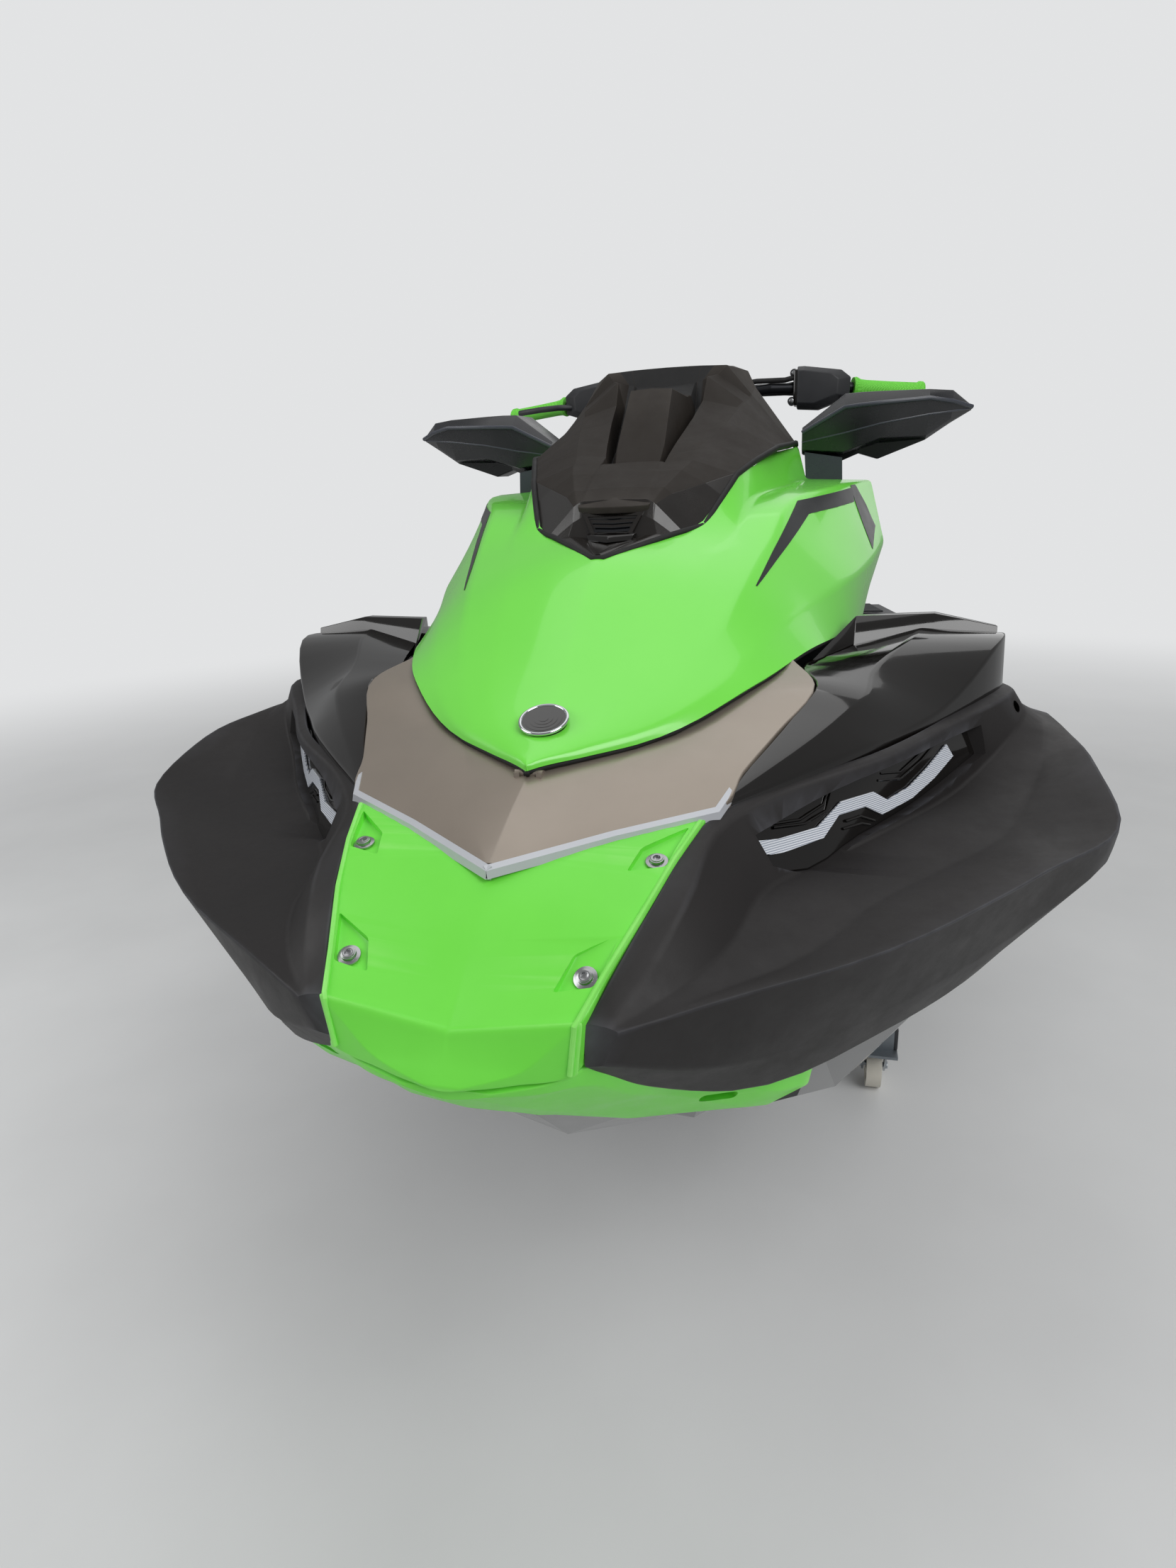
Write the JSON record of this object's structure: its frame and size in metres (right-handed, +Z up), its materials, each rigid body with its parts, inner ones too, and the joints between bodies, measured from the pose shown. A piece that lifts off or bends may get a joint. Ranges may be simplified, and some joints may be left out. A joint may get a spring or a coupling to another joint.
{
  "type": "personal watercraft",
  "caption": "Seated three-place jet-drive personal watercraft with a lifting hood and steered nozzle, standing on a wheeled dolly.",
  "frame": {"origin": "centre of the overall box on the floor under the dolly's wheels", "axes": "+X toward the bow, +Y toward port, +Z up"},
  "size_m": [3.58, 1.195, 1.532],
  "materials": {
    "gelcoat_black": "polished black gelcoat",
    "green_gloss": "lime green gloss finish",
    "green_moulded": "lime green moulded plastic, satin",
    "silver_metallic": "champagne grey metallic paint",
    "black_gloss": "gloss black",
    "black_moulded": "satin black moulded plastic",
    "charcoal_textured": "fine textured charcoal plastic",
    "smoked_lens": "dark smoked clear plastic",
    "white_lens": "ribbed clear and white light lens",
    "chrome_trim": "chromed ring, bare black face",
    "stainless": "stainless steel",
    "anodised": "cast and anodised aluminium",
    "engine_grey": "cast aluminium block",
    "grip_green": "green rubber grip",
    "seat_vinyl": "marine vinyl seat cover over foam",
    "mat_foam": "grooved traction mat",
    "galvanised": "zinc plated and galvanised steel tube",
    "bunk_carpet": "carpeted timber bunk",
    "wheel_white": "white cast nylon wheel"
  },
  "bodies": {
    "craft": {"hull": "gelcoat_black", "deck": "black_moulded", "engine": "engine_grey", "storage_bin": "black_moulded", "bow_cap": "green_moulded", "nose_bumper": "green_moulded", "deck_panel": "silver_metallic", "fenders": "black_moulded", "bow_lights": "white_lens", "shoulders": "black_gloss", "hood_hinge": "stainless", "console": "black_moulded", "display": "black_gloss", "seat_front": "seat_vinyl", "seat_rear": "seat_vinyl", "grab_handle": "black_moulded", "deck_mats": "mat_foam", "step_brackets": "stainless", "stern_eyes": "stainless", "sponsons": "black_moulded", "ride_plate": "anodised", "intake_grate": "anodised", "pump_housing": "anodised", "dolly_frame": "galvanised", "dolly_bunks": "bunk_carpet"},
    "hood_lid": {"hood": "green_gloss", "cowl": "charcoal_textured", "cowl_lens": "smoked_lens", "badge": "chrome_trim", "mirrors": "black_gloss"},
    "steering": {"handlebar": "anodised", "grips": "grip_green", "controls": "black_moulded"},
    "glove_box_lid": {"glove_lid": "black_moulded"},
    "step": {"boarding_step": "stainless"},
    "impeller_rotor": {"impeller": "stainless"},
    "jet_nozzle": {"nozzle": "anodised"},
    "bucket": {"reverse_bucket": "anodised"},
    "caster_front_left": {"caster_fork_front_left": "galvanised"},
    "wheel_front_left": {"caster_wheel_front_left": "wheel_white"},
    "caster_front_right": {"caster_fork_front_right": "galvanised"},
    "wheel_front_right": {"caster_wheel_front_right": "wheel_white"},
    "caster_rear_left": {"caster_fork_rear_left": "galvanised"},
    "wheel_rear_left": {"caster_wheel_rear_left": "wheel_white"},
    "caster_rear_right": {"caster_fork_rear_right": "galvanised"},
    "wheel_rear_right": {"caster_wheel_rear_right": "wheel_white"}
  },
  "joints": [
    {"name": "hood_hinge", "type": "hinge", "parent": "craft", "child": "hood_lid", "pos_m": [1.516, 0, 1.006], "axis": [0, 1, 0], "range_deg": [0, 45]},
    {"name": "steering_column", "type": "hinge", "parent": "craft", "child": "steering", "pos_m": [0.235, 0, 1.395], "axis": [-0.5, 0, 0.866], "range_deg": [-24, 24]},
    {"name": "glove_lid_hinge", "type": "hinge", "parent": "craft", "child": "glove_box_lid", "pos_m": [0.209, 0, 1.226], "axis": [0, 1, 0], "range_deg": [0, 50]},
    {"name": "boarding_step_hinge", "type": "hinge", "parent": "craft", "child": "step", "pos_m": [-1.772, 0, 0.56], "axis": [0, -1, 0], "range_deg": [0, 120]},
    {"name": "impeller_shaft", "type": "hinge", "parent": "craft", "child": "impeller_rotor", "pos_m": [-1.35, 0, 0.4], "axis": [1, 0, 0], "continuous": true},
    {"name": "nozzle_pivot", "type": "hinge", "parent": "craft", "child": "jet_nozzle", "pos_m": [-1.625, 0, 0.4], "axis": [0, 0, 1], "range_deg": [-20, 20]},
    {"name": "reverse_pivot", "type": "hinge", "parent": "jet_nozzle", "child": "bucket", "pos_m": [-1.695, 0, 0.4], "axis": [0, -1, 0], "range_deg": [0, 70]},
    {"name": "swivel_front_left", "type": "hinge", "parent": "craft", "child": "caster_front_left", "pos_m": [0.574, 0.43, 0.11], "axis": [0, 0, 1], "continuous": true},
    {"name": "roll_front_left", "type": "hinge", "parent": "caster_front_left", "child": "wheel_front_left", "pos_m": [0.539, 0.43, 0.05], "axis": [0, 1, 0], "continuous": true},
    {"name": "swivel_front_right", "type": "hinge", "parent": "craft", "child": "caster_front_right", "pos_m": [0.574, -0.43, 0.11], "axis": [0, 0, 1], "continuous": true},
    {"name": "roll_front_right", "type": "hinge", "parent": "caster_front_right", "child": "wheel_front_right", "pos_m": [0.539, -0.43, 0.05], "axis": [0, 1, 0], "continuous": true},
    {"name": "swivel_rear_left", "type": "hinge", "parent": "craft", "child": "caster_rear_left", "pos_m": [-0.8, 0.43, 0.11], "axis": [0, 0, 1], "continuous": true},
    {"name": "roll_rear_left", "type": "hinge", "parent": "caster_rear_left", "child": "wheel_rear_left", "pos_m": [-0.835, 0.43, 0.05], "axis": [0, 1, 0], "continuous": true},
    {"name": "swivel_rear_right", "type": "hinge", "parent": "craft", "child": "caster_rear_right", "pos_m": [-0.8, -0.43, 0.11], "axis": [0, 0, 1], "continuous": true},
    {"name": "roll_rear_right", "type": "hinge", "parent": "caster_rear_right", "child": "wheel_rear_right", "pos_m": [-0.835, -0.43, 0.05], "axis": [0, 1, 0], "continuous": true}
  ],
  "couplings": [
    {"joint": "nozzle_pivot", "follows": "steering_column", "ratio": -0.8}
  ]
}
